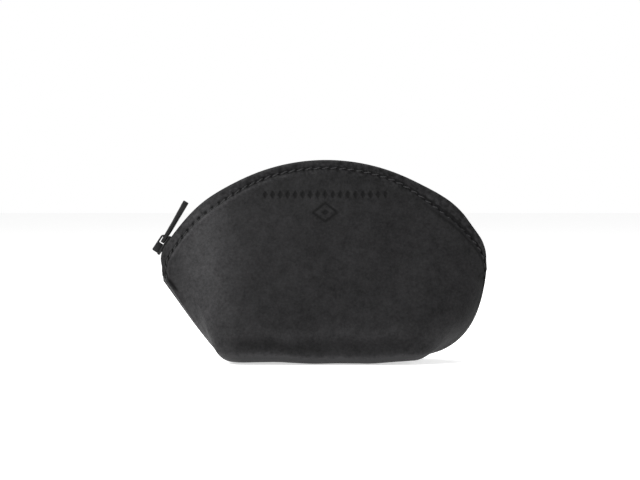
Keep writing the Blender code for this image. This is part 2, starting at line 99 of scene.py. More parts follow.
scene.world = bpy.data.worlds.new("tent")
scene.world.use_nodes = True
tent = scene.world.node_tree.nodes["Background"]
tent.inputs["Color"].default_value = (1.0, 1.0, 1.0, 1.0)
# The tent looks white to the camera but gives the black leather less light than that.
seen = scene.world.node_tree.nodes.new("ShaderNodeLightPath")
share_of_white = scene.world.node_tree.nodes.new("ShaderNodeMapRange")
share_of_white.inputs["To Min"].default_value = tent_fill
share_of_white.inputs["To Max"].default_value = 1.0
scene.world.node_tree.links.new(seen.outputs["Is Camera Ray"], share_of_white.inputs["Value"])
scene.world.node_tree.links.new(share_of_white.outputs["Result"], tent.inputs["Strength"])
area_lamp("upper_left_lamp", (-0.64, -0.68, 0.58), (0.0, 0.0, 0.04), 0.55, 22.0)
area_lamp("overhead_lamp", (0.1, 0.1, 1.2), (0.0, 0.0, 0.0), 0.9, 9.0)
area_lamp("low_right_lamp", (0.8, -0.5, 0.25), (0.03, 0.0, 0.03), 0.4, 5.0)
scene.view_settings.view_transform = "Standard"

camera = bpy.data.cameras.new("camera")
camera.lens = lens
camera.sensor_width = 36.0
camera_object = bpy.data.objects.new("camera", camera)
scene.collection.objects.link(camera_object)
camera_object.location = (camera_side, -camera_distance * cos(camera_lift),
                          camera_height + camera_distance * sin(camera_lift))
camera_object.rotation_euler = (pi / 2 - camera_lift, 0.0, 0.0)
scene.camera = camera_object


# ------------------------------------------------------------------ the two leather panels
# Each panel is one sheet of waxed black leather, drawn over half of both sides and half of
# the base, and sewn to its twin down the sides and under the base. Its top edge follows the
# zip; the stitching pulls a groove into it, and the base's fold leaves a shallow hollow.

joints = {joint["name"]: joint for joint in frame["record"]["behaviour"]["joints"]}
arch_x, _, arch_z = joints["slider_travel"]["pos_m"]
middle_x = joints["front_fold"]["pos_m"][0]
arch_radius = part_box("front_flap")[1][2] - arch_z
half_width = 0.0648
zip_end_z = 0.033
end_radius = {-1: 0.009, 1: 0.0146}
base_length = 0.0828
base_depth = 0.044
base_corner = 0.009
base_fold = 0.005
base_seam_inset = 1.8 * base_fold
left_lift, left_lift_start, left_lift_run = 0.0021, 0.002, 0.022
right_lift, right_lift_start, right_lift_run = 0.0023, 0.018, 0.021
seam_gap = 0.00006
leather = 0.0018
zip_gap = 0.009
pinch_length = 0.0035
side_turn = 0.34
bulges = {"left": (0.0003, 0.0012), "front": (-0.0046, 0.0076), "right": (0.0076, 0.0106)}
left_shoulder, right_shoulder = 0.0007, 0.0013
left_shoulder_x, right_shoulder_x, shoulder_width, shoulder_depth = -0.0475, 0.0530, 0.009, 0.014
stitch_pitch = 0.0034
first_stitch = 0.0026
last_stitch = 0.0045
seam_inset, seam_inset_left, seam_inset_right = 0.0031, 0.0011, 0.0019


def smooth(t):
    t = np.clip(t, 0.0, 1.0)
    return t * t * (3.0 - 2.0 * t)


def end_arc(side):
    radius = end_radius[side]
    x = middle_x + side * (half_width - radius)
    rise = sqrt((arch_radius - radius) ** 2 - (x - arch_x) ** 2)
    return x, arch_z + rise, np.arctan2(rise, x - arch_x)


left_x, left_z, left_angle = end_arc(-1)
right_x, right_z, right_angle = end_arc(1)
arch_start = left_z - zip_end_z + end_radius[-1] * (pi - left_angle)
arch_end = arch_start + arch_radius * (left_angle - right_angle)
zip_length = arch_end + end_radius[1] * right_angle + right_z - zip_end_z


def zip_line(d):
    """Points and outward directions of the zip at lengths d from its left end."""
    d = np.asarray(d, float)
    left_turn = arch_start - end_radius[-1] * (pi - left_angle)
    right_turn = arch_end + end_radius[1] * right_angle
    angle = np.select(
        [d < left_turn, d < arch_start, d < arch_end, d < right_turn],
        [pi + 0.0 * d, pi - (d - left_turn) / end_radius[-1],
         left_angle - (d - arch_start) / arch_radius,
         right_angle - (d - arch_end) / end_radius[1]], 0.0)
    pick = [d < arch_start, d < arch_end]
    cx = np.select(pick, [left_x, arch_x], right_x)
    cz = np.select(pick, [left_z, arch_z], right_z)
    radius = np.select(pick, [end_radius[-1], arch_radius], end_radius[1])
    outward = np.stack([np.cos(angle), 0.0 * d, np.sin(angle)], -1)
    straight = np.minimum(d - left_turn, 0.0) + np.maximum(right_turn - d, -1.0) * (d > right_turn)
    point = np.stack([cx, 0.0 * d, cz], -1) + outward * radius[..., None]
    point[..., 2] += straight
    return point, outward


def base_edge(s):
    """Front half of the base's outline, left seam to right seam."""
    half = np.minimum(s, 1.0 - s)
    side = base_depth / 2 - base_corner
    corner = base_corner * pi / 2
    front = base_length / 2 - base_corner
    run = half * 2.0 * (side + corner + front)
    turn = np.clip((run - side) / base_corner, 0.0, pi / 2)
    x = -base_length / 2 + base_corner * (1.0 - np.cos(turn)) + np.maximum(run - side - corner, 0)
    y = -np.minimum(run, side) - base_corner * np.sin(turn)
    side_x = np.where(s > 0.5, -x, x)
    z = left_lift * smooth((-side_x - left_lift_start) / left_lift_run)
    z = z + right_lift * smooth((side_x - right_lift_start) / right_lift_run)
    return np.stack([np.where(s > 0.5, -x, x) + middle_x, np.minimum(y, -seam_gap / 2), z], -1)


def wall_controls(s):
    """The four control points of the wall's curve at s: rim, two between, and foot."""
    d = s * zip_length
    top, _ = zip_line(d)
    pinch = smooth(np.minimum(d, zip_length - d) / pinch_length)
    top[..., 1] = -seam_gap / 2 - (zip_gap / 2 + leather - seam_gap / 2) * pinch
    foot = base_edge(s)
    chord = foot - top
    chord /= np.linalg.norm(chord, axis=-1, keepdims=True)
    turn = np.where(s < 0.5, smooth(s / side_turn), 2.0 - smooth((1.0 - s) / side_turn))
    out = np.stack([np.cos(pi + turn * pi / 2), np.sin(pi + turn * pi / 2), 0.0 * s], -1)
    left = np.maximum(-out[..., 0], 0) ** 2
    front = out[..., 1] ** 2
    right = np.maximum(out[..., 0], 0) ** 2
    square = out - chord * np.sum(out * chord, -1, keepdims=True)
    square /= np.linalg.norm(square, axis=-1, keepdims=True)
    upper, lower = (left * bulges["left"][i] + front * bulges["front"][i] + right * bulges["right"][i]
                    for i in (0, 1))
    first = top + (foot - top) / 3 + square * upper[..., None]
    second = top + (foot - top) * 2 / 3 + square * lower[..., None]
    return top, first, second, foot


def leather_face(s, v):
    """The sheet's outer face. v runs 0 to 1 down the wall, and 1 to 2 across the base."""
    top, first, second, foot = wall_controls(s)
    seam = np.stack([middle_x + (2 * s - 1) * (base_length / 2 - base_seam_inset),
                     0 * s - seam_gap / 2, 0 * s], -1)
    inward = seam - foot
    room = np.linalg.norm(inward, axis=-1, keepdims=True)
    flat = foot + inward / room * np.minimum(base_fold, room * 0.6)
    flat[..., 2] = foot[..., 2] * 0.5
    wall_end = 1.0 - base_fold / np.linalg.norm(top - foot, axis=-1)

    def wall(t):
        t = t[..., None]
        u = 1.0 - t
        return top * u ** 3 + first * (3 * u * u * t) + second * (3 * u * t * t) + foot * t ** 3

    t = np.clip((v - wall_end) / (1.0 - wall_end), 0.0, 1.0)[..., None]
    fold = wall(wall_end + 0 * v) * (1 - t) ** 2 + foot * (2 * t * (1 - t)) + flat * t * t
    base = flat + (seam - flat) * np.clip(v - 1.0, 0.0, 1.0)[..., None]
    point = np.where((v > wall_end)[..., None], fold, wall(np.minimum(v, wall_end)))
    return np.where((v > 1.0)[..., None], base, point)


wall_steps = 160
base_steps = 30
fine_v = np.concatenate([np.linspace(0.0, 1.0, wall_steps + 1),
                         np.linspace(1.0, 2.0, base_steps + 1)[1:]])


def drawn_length(s):
    """How far down the sheet each fine_v is, and where its base starts, at each s."""
    points = leather_face(s[None, :], fine_v[:, None] + 0 * s[None, :])
    steps = np.linalg.norm(np.diff(points, axis=0), axis=-1)
    run = np.concatenate([np.zeros((1, len(s))), np.cumsum(steps, axis=0)])
    return run, run[wall_steps]


def face_at(s, down):
    """Point and outward normal of the leather at distances down from its top edge."""
    step_along = 0.0015
    step_down = 0.0004

    def place(s, down):
        run, _ = drawn_length(s)
        v = np.stack([np.interp(down[:, i], run[:, i], fine_v) for i in range(len(s))], 1)
        return leather_face(s[None, :], v)

    s = np.asarray(s, float)
    point = place(s, down)
    along = (place(np.minimum(s + step_along, 1.0), down)
             - place(np.maximum(s - step_along, 0.0), down))
    across = place(s, down + step_down) - place(s, np.maximum(down - step_down, 0.0))
    normal = -np.cross(along, across)
    normal /= np.maximum(np.linalg.norm(normal, axis=-1, keepdims=True), 1e-12)
    return point, normal


def stitch_inset(s):
    """The seam runs a little deeper under the zip's two ends than over the arch."""
    return (seam_inset + seam_inset_left * smooth((0.40 - s) / 0.18)
            + seam_inset_right * smooth((s - 0.64) / 0.16))


def bell(distance, width):
    """1 at no distance, falling away smoothly over the width."""
    return np.exp(-(distance / width) ** 2)


def seam_relief(down, d, share):
    """Height and paleness of the stitched rim: groove, needle holes, ridge, crease and edge. The
    paleness paints shade into the groove, needle holes and crease, is higher along the ridge on the
    left, and marks a paler worn edge.
    """
    groove_width, groove_depth, groove_left, groove_right = 0.00055, 0.00012, 0.00008, 0.00024
    hole_length, hole_width, hole_depth, hole_slant = 0.00066, 0.00064, 0.00042, 0.5
    ridge_inset, ridge_width, ridge_height, ridge_left = 0.0016, 0.0008, 0.00004, 0.00022
    crease_inset, crease_width, crease_depth = 0.0021, 0.0006, 0.00014
    band_height = 0.00016
    edge_reach, edge_drop = 0.0009, 0.00042
    left = 1.0 - smooth((share - 0.35) / 0.25)
    right = smooth((share - 0.62) / 0.2)
    sewn = smooth((d - first_stitch + 0.001) / 0.001)
    sewn = sewn * smooth((zip_length - last_stitch - d) / 0.001)
    inset = stitch_inset(share)
    off = down - inset
    groove = bell(off, groove_width) * sewn
    nearest = np.round((d - first_stitch) / stitch_pitch) * stitch_pitch + first_stitch - d
    holes = bell(nearest + hole_slant * off, hole_length)
    holes = holes * bell(off - hole_slant * nearest, hole_width) * sewn
    ridge = bell(off - ridge_inset, ridge_width) * sewn
    crease = bell(off - crease_inset, crease_width) * right * sewn
    band = np.sin(pi * np.clip(down / inset, 0.0, 1.0))
    worn = np.clip(1.0 - down / edge_reach, 0.0, 1.0)
    height = -groove * (groove_depth + groove_right * right + groove_left * left)
    height -= holes * hole_depth
    height += ridge * (ridge_height + ridge_left * left)
    height -= crease * crease_depth
    height += band * band_height * sewn
    height -= worn ** 2 * edge_drop
    # Painted shade darkens the needle holes, crease and groove; the left ridge and the worn edge are
    # paler.
    pale = 0.42 * ridge * left + 0.5 * worn - 1.5 * holes - 0.35 * crease
    pale -= groove * (0.30 - 0.18 * left + 1.0 * right)
    return height, pale


def rim_grain(point, down):
    """Fine unevenness where the rim has been pressed and handled, none further down."""
    grain_reach, grain_fade, grain_scale = 0.0070, 0.0030, 850.0
    grain = np.zeros_like(down)
    for row, column in zip(*np.nonzero(down < grain_reach)):
        grain[row, column] = noise.noise(Vector(point[row, column]) * grain_scale)
    return grain * smooth((grain_reach - down) / grain_fade)


def broad_flow(point, front):
    """Slow waves of a natural hide, sampled at every other point and smoothed."""
    scale, apart = 45.0, 7.0
    flow = np.array([[noise.noise((x * scale, y * scale + apart * front, z * scale))
                      for x, y, z in row] for row in point[::2, ::2]])
    flow = np.repeat(np.repeat(flow, 2, 0), 2, 1)[:point.shape[0], :point.shape[1]]
    return (flow + np.roll(flow, 1, 0) + np.roll(flow, 1, 1) + np.roll(flow, -1, 0)) / 4


def leather_relief(point, s, down, foot_run, front):
    """Height of everything pressed, pulled or worn into the sheet, and its paleness, which holds wear
    and painted light and shade.
    """
    d = s[None, :] * zip_length + 0 * down
    height, pale = seam_relief(down, d, d / zip_length)
    grain_height = 0.00007
    grain = rim_grain(point, down)
    height += grain * grain_height
    x, z = point[..., 0] - middle_x, point[..., 2]

    # The base's fold pulls a hollow along the wall's foot, with a swell above it.
    hollow_up, hollow_width, hollow_depth = 0.0098, 0.0024, 0.0006
    swell_up, swell_width, swell_height = 0.0150, 0.0026, 0.00025
    up = foot_run[None, :] - down
    broad = smooth((0.040 - np.abs(x + 0.001)) / 0.010) * smooth(-point[..., 1] / 0.02 - 0.3)
    wander = 0.0007 * np.sin(x * 95.0) + 0.0004 * np.sin(x * 210.0 + 1.0)
    hollow = bell(up - hollow_up - wander, hollow_width) * broad
    swell = bell(up - swell_up - wander, swell_width) * broad
    height += swell * swell_height - hollow * hollow_depth

    # Slow waves in the hide, and fine wrinkles where the right side is pushed in.
    flow_height = 0.0007
    wrinkle_x, wrinkle_z, wrinkle_pitch, wrinkle_height = 0.047, 0.026, 0.0031, 0.00007
    rest = smooth((down - 0.005) / 0.008)
    flow = broad_flow(point, front)
    height += flow * rest * flow_height
    wrinkle_spot = bell(x - wrinkle_x, 0.013) * bell(z - wrinkle_z, 0.010)
    wrinkles = np.sin((z * 0.9 + x * 0.35 + flow * 0.0025) * 2 * pi / wrinkle_pitch)
    height += wrinkles * wrinkle_spot * wrinkle_height * rest

    # A short slanting tuck under the zip's left end, and a round dent where the thread ends.
    tuck_x, tuck_z, tuck_slope, tuck_width, tuck_depth = -0.0615, 0.0325, 0.75, 0.0007, 0.0003
    tuck_top, tuck_foot = 0.0345, 0.0275
    ring_x, ring_z, ring_radius, ring_width, ring_depth = 0.0628, 0.0345, 0.0011, 0.0004, 0.00012
    tuck = bell(x - tuck_x - tuck_slope * (tuck_z - z), tuck_width)
    tuck = tuck * smooth((tuck_top - z) / 0.002) * smooth((z - tuck_foot) / 0.002)
    tuck = tuck * (x < 0)
    height -= tuck * tuck_depth
    ring = bell(np.hypot(x - ring_x, z - ring_z) - ring_radius, ring_width) * front
    height -= ring * ring_depth

    # Painted light in the paleness: the left third painted paler as if lit by the upper left lamp,
    # painted bounce light from the table along the fold round the base, and a painted highlight on
    # the right side's foot.
    left_light_x, left_light_width, left_light_end = -0.0488, 0.0118, -0.047
    fold_up, fold_width, fold_left, fold_more = 0.0030, 0.0026, 0.9, 1.2
    gusset_x, gusset_length, gusset_z, gusset_height = 0.049, 0.009, 0.009, 0.006
    left_painted_light = bell(x - left_light_x, left_light_width) * smooth((down + 0.001) / 0.004)
    left_painted_light = left_painted_light * (1.0 - 0.35 * smooth((x - left_light_end) / 0.02))
    # Painted bounce light from the table along the fold round the base.
    fold_painted_bounce = bell(up - fold_up, fold_width)
    fold_painted_bounce = fold_painted_bounce * (fold_left + fold_more * smooth((x + 0.052) / 0.024))
    # A painted highlight low on the right side, where it catches the light from the table.
    gusset_painted_highlight = bell(x - gusset_x, gusset_length) * bell(z - gusset_z, gusset_height)
    # Painted shade in the hollow, the tuck and the dent, and a painted highlight along the swell
    # above the hollow.
    pale += 0.55 * grain + 0.25 * swell - 0.14 * hollow - 0.9 * tuck - 0.2 * ring
    pale += 0.85 * left_painted_light + 1.5 * fold_painted_bounce + 0.6 * gusset_painted_highlight
    return height, pale


def tooling(point):
    """A tooled row of small lozenges with a larger plain one under it."""
    mark_x, row_z, large_z = 0.0008, 0.0669, 0.0598
    pitch, row_half = 0.0030, 0.0245
    x, z = point[..., 0] - middle_x - mark_x, point[..., 2]
    local = x - np.round(x / pitch) * pitch
    lozenge = np.abs(local) / 0.00120 + np.abs(z - row_z) / 0.0020
    row = smooth((1.0 - lozenge) / 0.35) * (np.abs(x) < row_half)
    large = np.abs(x) / 0.0056 + np.abs(z - large_z) / 0.0043
    outline = bell(large - 0.86, 0.13)
    centre = smooth((0.38 - large) / 0.2)
    return np.maximum(np.maximum(row, outline), centre)


def closed_sheet(name, outer, inner, rim, flip):
    """Joins two grids of points into one closed sheet, with a rounded top edge."""
    rows, columns, _ = outer.shape
    points = np.concatenate([outer.reshape(-1, 3), inner.reshape(-1, 3), rim])
    if flip:
        points = points * (1.0, -1.0, 1.0)
    grid = np.arange(rows * columns).reshape(rows, columns)
    back = grid + rows * columns
    rim_row = np.arange(columns) + 2 * rows * columns

    def quads(a, b):
        return np.stack([a[:-1], a[1:], b[1:], b[:-1]], -1).reshape(-1, 4)

    down = np.concatenate([quads(grid[r], grid[r + 1]) for r in range(rows - 1)])
    under = np.concatenate([quads(back[r + 1], back[r]) for r in range(rows - 1)])
    top = np.concatenate([quads(rim_row, grid[0]), quads(back[0], rim_row)])
    foot = quads(grid[-1], back[-1])
    ends = np.concatenate([quads(back[:, 0], grid[:, 0]), quads(grid[:, -1], back[:, -1])])
    corners = [(rim_row[0], grid[0, 0], back[0, 0]), (rim_row[-1], back[0, -1], grid[0, -1])]
    faces = np.concatenate([down, under, top, foot, ends]).tolist()
    faces.extend([int(point) for point in corner] for corner in corners)
    mesh = bpy.data.meshes.new(name)
    mesh.from_pydata(points.tolist(), [], faces)
    cleaned = bmesh.new()
    cleaned.from_mesh(mesh)
    bmesh.ops.recalc_face_normals(cleaned, faces=cleaned.faces[:])
    if cleaned.calc_volume(signed=True) < 0.0:
        bmesh.ops.reverse_faces(cleaned, faces=cleaned.faces[:])
    cleaned.to_mesh(mesh)
    cleaned.free()
    mesh.shade_smooth()
    obj = bpy.data.objects.new(name, mesh)
    scene.collection.objects.link(obj)
    return obj


class Wire:
    """A shader socket that can be added, multiplied and so on; each adds its Math node."""

    def __init__(self, finish, socket):
        self.finish = finish
        self.socket = socket

    def maths(self, operation, a, b):
        return self.finish.node("ShaderNodeMath", {"operation": operation}, {0: a, 1: b})

    def __add__(self, other):
        return self.maths("ADD", self, other)

    def __sub__(self, other):
        return self.maths("SUBTRACT", self, other)

    def __rsub__(self, other):
        return self.maths("SUBTRACT", other, self)

    def __mul__(self, other):
        return self.maths("MULTIPLY", self, other)

    __radd__ = __add__
    __rmul__ = __mul__

    def clamp(self):
        return self.maths("MINIMUM", self.maths("MAXIMUM", self, 0.0), 1.0)

    def wave(self):
        return self.finish.node("ShaderNodeMath", {"operation": "SINE"}, {0: self})


class Finish:
    """A Principled finish. Constants sit on the shader; wires carry what varies."""

    def __init__(self, name, **constants):
        self.material = bpy.data.materials.new(name)
        self.material.use_nodes = True
        self.tree = self.material.node_tree
        self.shader = self.tree.nodes["Principled BSDF"]
        for key, value in constants.items():
            self.shader.inputs[key.replace("_", " ")].default_value = value

    def node(self, kind, settings=None, links=None, output=0):
        """Adds a node, sets its fields, joins or sets its sockets, and gives one output."""
        made = self.tree.nodes.new(kind)
        for key, value in (settings or {}).items():
            setattr(made, key, value)
        for key, value in (links or {}).items():
            if isinstance(value, Wire):
                self.tree.links.new(value.socket, made.inputs[key])
            else:
                made.inputs[key].default_value = value
        return Wire(self, made.outputs[output])

    def place(self, kind="Object"):
        return self.node("ShaderNodeTexCoord", output=kind)

    def grain(self, scale, detail, rough):
        return self.node("ShaderNodeTexNoise", None,
                         {"Vector": self.place(), "Scale": scale, "Detail": detail,
                          "Roughness": rough})

    def colours(self, factor, first, second):
        """A colour that goes from the first to the second as the factor rises."""
        return self.node("ShaderNodeMix", {"data_type": "RGBA"},
                         {0: factor, 6: (*first, 1.0), 7: (*second, 1.0)}, output=2)

    def feed(self, key, wire):
        self.tree.links.new(wire.socket, self.shader.inputs[key])

    def bump(self, height, strength, distance):
        made = self.node("ShaderNodeBump", None,
                         {"Height": height, "Strength": strength, "Distance": distance})
        self.feed("Normal", made)


black_leather = Finish("black_leather", Roughness=0.56, Specular_IOR_Level=0.08)
pale = black_leather.node("ShaderNodeAttribute", {"attribute_name": "pale"}, output="Fac")
cloud = black_leather.grain(55.0, 4.0, 0.6)
mottle = black_leather.grain(240.0, 4.0, 0.65)
pores = black_leather.node("ShaderNodeTexVoronoi", None, {"Vector": black_leather.place(),
                                                          "Scale": 1500.0})
fibre = black_leather.grain(3200.0, 2.0, 0.6)
grit = black_leather.grain(900.0, 3.0, 0.7)
# The colour's factor: random mottle and grit, raised by the paleness attribute, which holds wear and
# painted light and shade.
tone_and_painted_light = (0.21 + (cloud - 0.5) * 0.3 + (mottle - 0.5) * (0.45 + pale * 0.7)
         + (grit - 0.5) * (0.6 + pale * 0.8) + pale * 0.58).clamp()
black_leather.feed("Base Color", black_leather.colours(tone_and_painted_light, (0.0012, 0.0012, 0.0013),
                                                       (0.0205, 0.0201, 0.0209)))
black_leather.feed("Roughness", 0.70 - tone_and_painted_light * 0.12 + (fibre - 0.5) * 0.12)
black_leather.bump(pores * 0.5 + fibre * 0.35 + mottle * 0.9, 0.32, 0.0004)

flesh_side = Finish("leather_flesh_side", Roughness=0.92, Specular_IOR_Level=0.2,
                    Sheen_Weight=0.3)
nap = flesh_side.grain(900.0, 5.0, 0.7)
flesh_side.feed("Base Color", flesh_side.colours(nap, (0.010, 0.010, 0.010),
                                                 (0.040, 0.039, 0.038)))
flesh_side.bump(nap, 0.7, 0.0005)

columns = 400
top_rows = 62
low_rows = 56
rim_zone, rim_zone_more = 0.012, 0.0155
left_set_back, right_set_back = 0.0010, 0.0007
tooling_depth, tooling_darkness = 0.00028, 0.55
edge_paleness = 0.35
edge_round = 0.00012
panel_x_limit = middle_x + half_width + 0.0001

for word, flip in (("front", False), ("back", True)):
    s = np.linspace(0.0, 1.0, columns)
    run, foot_run = drawn_length(s)
    total = run[-1]
    zone = rim_zone + rim_zone_more * smooth((np.minimum(s, 1 - s) - 0.08) / 0.2)
    first_rows = np.linspace(0.0, 1.0, top_rows)[:, None] * zone[None, :]
    share = np.linspace(0.0, 1.0, low_rows + 1)[1:, None]
    down = np.concatenate([first_rows, zone + (total - zone) * share])
    from_end = np.minimum(s, 1.0 - s) * zip_length
    near_left = smooth((0.0080 - from_end) / 0.0025)
    near_right = smooth((0.030 - from_end) / 0.008) * smooth((from_end - 0.009) / 0.004)
    set_back = np.where(s < 0.5, left_set_back * near_left, right_set_back * near_right)
    down = down + set_back * (1.0 - smooth(down / 0.012))
    point, normal = face_at(s, down)
    normal[:, 0, 1] = 0.0
    normal[:, -1, 1] = 0.0
    normal[-1] = (0.0, 0.0, -1.0)
    # The paleness holds wear and tooling as well as painted light and shade; it is stored on the
    # points for the leather's colour.
    height, sheet_wear_and_painted_light = leather_relief(point, s, down, foot_run, 0.0 if flip else 1.0)
    if not flip:
        mark = tooling(point)
        height -= mark * tooling_depth
        sheet_wear_and_painted_light -= mark * tooling_darkness
    near_seam = smooth(np.minimum(s, 1 - s)[None, :] / 0.012)
    near_base = smooth((total - down) / 0.010)
    edge_point, lift = zip_line(s * zip_length)
    shoulder = (left_shoulder * bell(edge_point[:, 0] - left_shoulder_x, shoulder_width)
                + right_shoulder * bell(edge_point[:, 0] - right_shoulder_x, shoulder_width))
    fading = shoulder[None, :] * (1.0 - smooth(down / shoulder_depth))
    point = point + lift[None, :, :] * fading[..., None]
    point[..., 0] = np.minimum(point[..., 0], panel_x_limit)
    outer = point + normal * (height * near_seam * near_base)[..., None]
    outer[..., 1] = np.minimum(outer[..., 1], -seam_gap / 2)
    outer[..., 2] = np.maximum(outer[..., 2], 0.0)
    inner = point - normal * leather
    inner[..., 0] = np.minimum(inner[..., 0], panel_x_limit)
    inner[..., 1] = np.minimum(inner[..., 1], -seam_gap / 2)
    rim = (outer[0] + inner[0]) / 2 + lift * edge_round
    panel = closed_sheet(f"{word}_leather", outer, inner, rim, flip)
    panel.data.materials.append(black_leather.material)
    panel.data.materials.append(flesh_side.material)
    tone = panel.data.attributes.new("pale", "FLOAT", "POINT")
    shade = np.concatenate([sheet_wear_and_painted_light.ravel(), 0 * sheet_wear_and_painted_light.ravel(), np.full(columns, edge_paleness)])
    tone.data.foreach_set("value", shade.astype(np.float32))
    count = (outer.shape[0] - 1) * (columns - 1)
    slots = np.zeros(len(panel.data.polygons), np.int32)
    slots[count:2 * count] = 1
    panel.data.polygons.foreach_set("material_index", slots)
    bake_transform(panel)
    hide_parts(f"{word}_panel", f"{word}_flap")


# ------------------------------------------------------------------ rim stitching
# A bonded two-ply thread, lockstitched through leather and tape. Each stitch rises out of one
# hole, lies slantwise along the groove and dives into the next, so it shows as a short dash.

thread_finish = Finish("black_thread", Roughness=0.6, Specular_IOR_Level=0.15)
lint = thread_finish.grain(4200.0, 3.0, 0.6)
thread_finish.feed("Base Color", thread_finish.colours(lint, (0.005, 0.005, 0.0052),
                                                       (0.021, 0.021, 0.0216)))
thread_finish.bump(lint, 0.5, 0.0002)

ply_radius = 0.00019
ply_offset = 0.00015
ply_turns = 1.6
ply_sides = 6
stitch_steps = 9
stitch_sink, stitch_rise, stitch_lean = 0.00065, 0.00066, 0.00032
hole_margin = 0.00022


def add_mesh(name, points, faces, finish):
    mesh = bpy.data.meshes.new(name)
    mesh.from_pydata(np.asarray(points).tolist(), [], faces)
    mesh.materials.append(finish.material)
    mesh.shade_smooth()
    obj = bpy.data.objects.new(name, mesh)
    scene.collection.objects.link(obj)
    return obj


def round_cord(path, radius, sides, points, faces):
    """Adds one closed round strand along a path to the lists of points and faces."""
    path = np.asarray(path)
    along = np.gradient(path, axis=0)
    along /= np.linalg.norm(along, axis=-1, keepdims=True)
    across = np.cross(along, (0.137, 0.91, 0.39))
    across /= np.linalg.norm(across, axis=-1, keepdims=True)
    third = np.cross(along, across)
    start = len(points)
    for k in range(len(path)):
        for j in range(sides):
            angle = 2 * pi * j / sides
            points.append(path[k] + (across[k] * cos(angle) + third[k] * sin(angle)) * radius)
    for k in range(len(path) - 1):
        for j in range(sides):
            n = (j + 1) % sides
            a = start + k * sides
            faces.append((a + j, a + n, a + sides + n, a + sides + j))
    faces.append(tuple(start + j for j in reversed(range(sides))))
    faces.append(tuple(start + (len(path) - 1) * sides + j for j in range(sides)))


t = np.linspace(0.0, 1.0, stitch_steps)
rise = stitch_rise * np.sin(pi * t) ** 0.55 - stitch_sink
lean = stitch_lean * np.cos(pi * t)
starts = np.arange(first_stitch, zip_length - last_stitch, stitch_pitch)[:-1]
along_rim = starts[:, None] + hole_margin + (stitch_pitch - 2 * hole_margin) * t[None, :]
along_rim = along_rim.ravel() / zip_length
below = stitch_inset(along_rim) + np.tile(lean, len(starts))
centre = np.zeros((len(along_rim), 3))
facing_out = np.zeros((len(along_rim), 3))
for k in range(len(along_rim)):
    p, n = face_at(along_rim[k:k + 1], below[k:k + 1][:, None])
    centre[k] = p[0, 0]
    facing_out[k] = n[0, 0]
centre = centre + facing_out * np.tile(rise, len(starts))[:, None]
centre = centre.reshape(len(starts), stitch_steps, 3)
facing_out = facing_out.reshape(len(starts), stitch_steps, 3)

for word, flip in (("front", False), ("back", True)):
    points, faces = [], []
    for stitch, outward in zip(centre, facing_out):
        direction = np.gradient(stitch, axis=0)
        direction /= np.linalg.norm(direction, axis=-1, keepdims=True)
        side = np.cross(direction, outward)
        for ply in (0.0, pi):
            twist = ply + 2 * pi * ply_turns * t
            strand = (stitch + side * (np.cos(twist) * ply_offset)[:, None]
                      + outward * (np.sin(twist) * ply_offset)[:, None])
            round_cord(strand, ply_radius, ply_sides, points, faces)
    points = np.array(points)
    if flip:
        points = points * (1.0, -1.0, 1.0)
        faces = [tuple(reversed(face)) for face in faces]
    thread = add_mesh(f"{word}_rim_stitches", points, faces, thread_finish)
    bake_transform(thread)
    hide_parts(*(f"{word}_thread_{part}" for part in ("left", "top", "right")))

for name in ("left_seam_thread", "right_seam_thread", "base_seam_thread"):
    node = frame["nodes"][name]
    node.data.materials.clear()
    node.data.materials.append(thread_finish.material)


# ------------------------------------------------------------------ zip tapes
# Two strips of woven black polyester. Each is sewn flat against the inside of its panel and
# turns over the leather's edge towards the teeth, which are fixed along its selvedge.

tape_thickness = 0.0005
tape_width_inside = 0.009
tape_start = 0.0024
chain_below = 0.0011
selvedge_y = 0.0006
tape_gap = 0.0002
tape_lining = 0.00035
tape_end_width = 0.003
tape_x_limit = half_width - 0.0009
turn_y = zip_gap / 2 - 0.0007
tape_rows = (0.18, 0.32, 0.5, 0.75, 1.0)

tape_finish = Finish("zip_tape_cloth", Roughness=0.9, Specular_IOR_Level=0.15, Sheen_Weight=0.08)
weave_uv = tape_finish.place("UV")
weft_at = tape_finish.node("ShaderNodeSeparateXYZ", None, {0: weave_uv})
warp_at = tape_finish.node("ShaderNodeSeparateXYZ", None, {0: weave_uv}, output=1)
yarn_turns = 2 * pi / 0.00042
warp = (warp_at * yarn_turns).wave()
weft = (weft_at * yarn_turns + (warp_at * (yarn_turns / 2)).wave() * 1.2).wave()
cloth_height = warp * 0.5 + weft * 0.5
tape_finish.feed("Base Color", tape_finish.colours((cloth_height * 0.4 + 0.5).clamp(),
                                                   (0.004, 0.004, 0.0043),
                                                   (0.018, 0.018, 0.0186)))
tape_finish.bump(cloth_height, 0.6, 0.00012)

tape_columns = 220
d = np.linspace(tape_start, zip_length - tape_start, tape_columns)
s = d / zip_length
end_reach = np.minimum(d, zip_length - d) - tape_start
selvedge = tape_gap + (selvedge_y - tape_gap) * smooth((end_reach - 0.0006) / 0.0016)
edge_y = (zip_gap / 2 + leather) * smooth((end_reach + tape_start) / pinch_length)
turn = np.maximum(np.minimum(turn_y, edge_y - leather - 0.0005), selvedge + 0.0006)
reach = tape_end_width + (tape_width_inside - tape_end_width) * smooth(end_reach / 0.012)
edge, edge_out = zip_line(d)
inside_rows = np.array(tape_rows)[:, None] * reach[None, :]
sheet_point, sheet_normal = face_at(s, inside_rows)

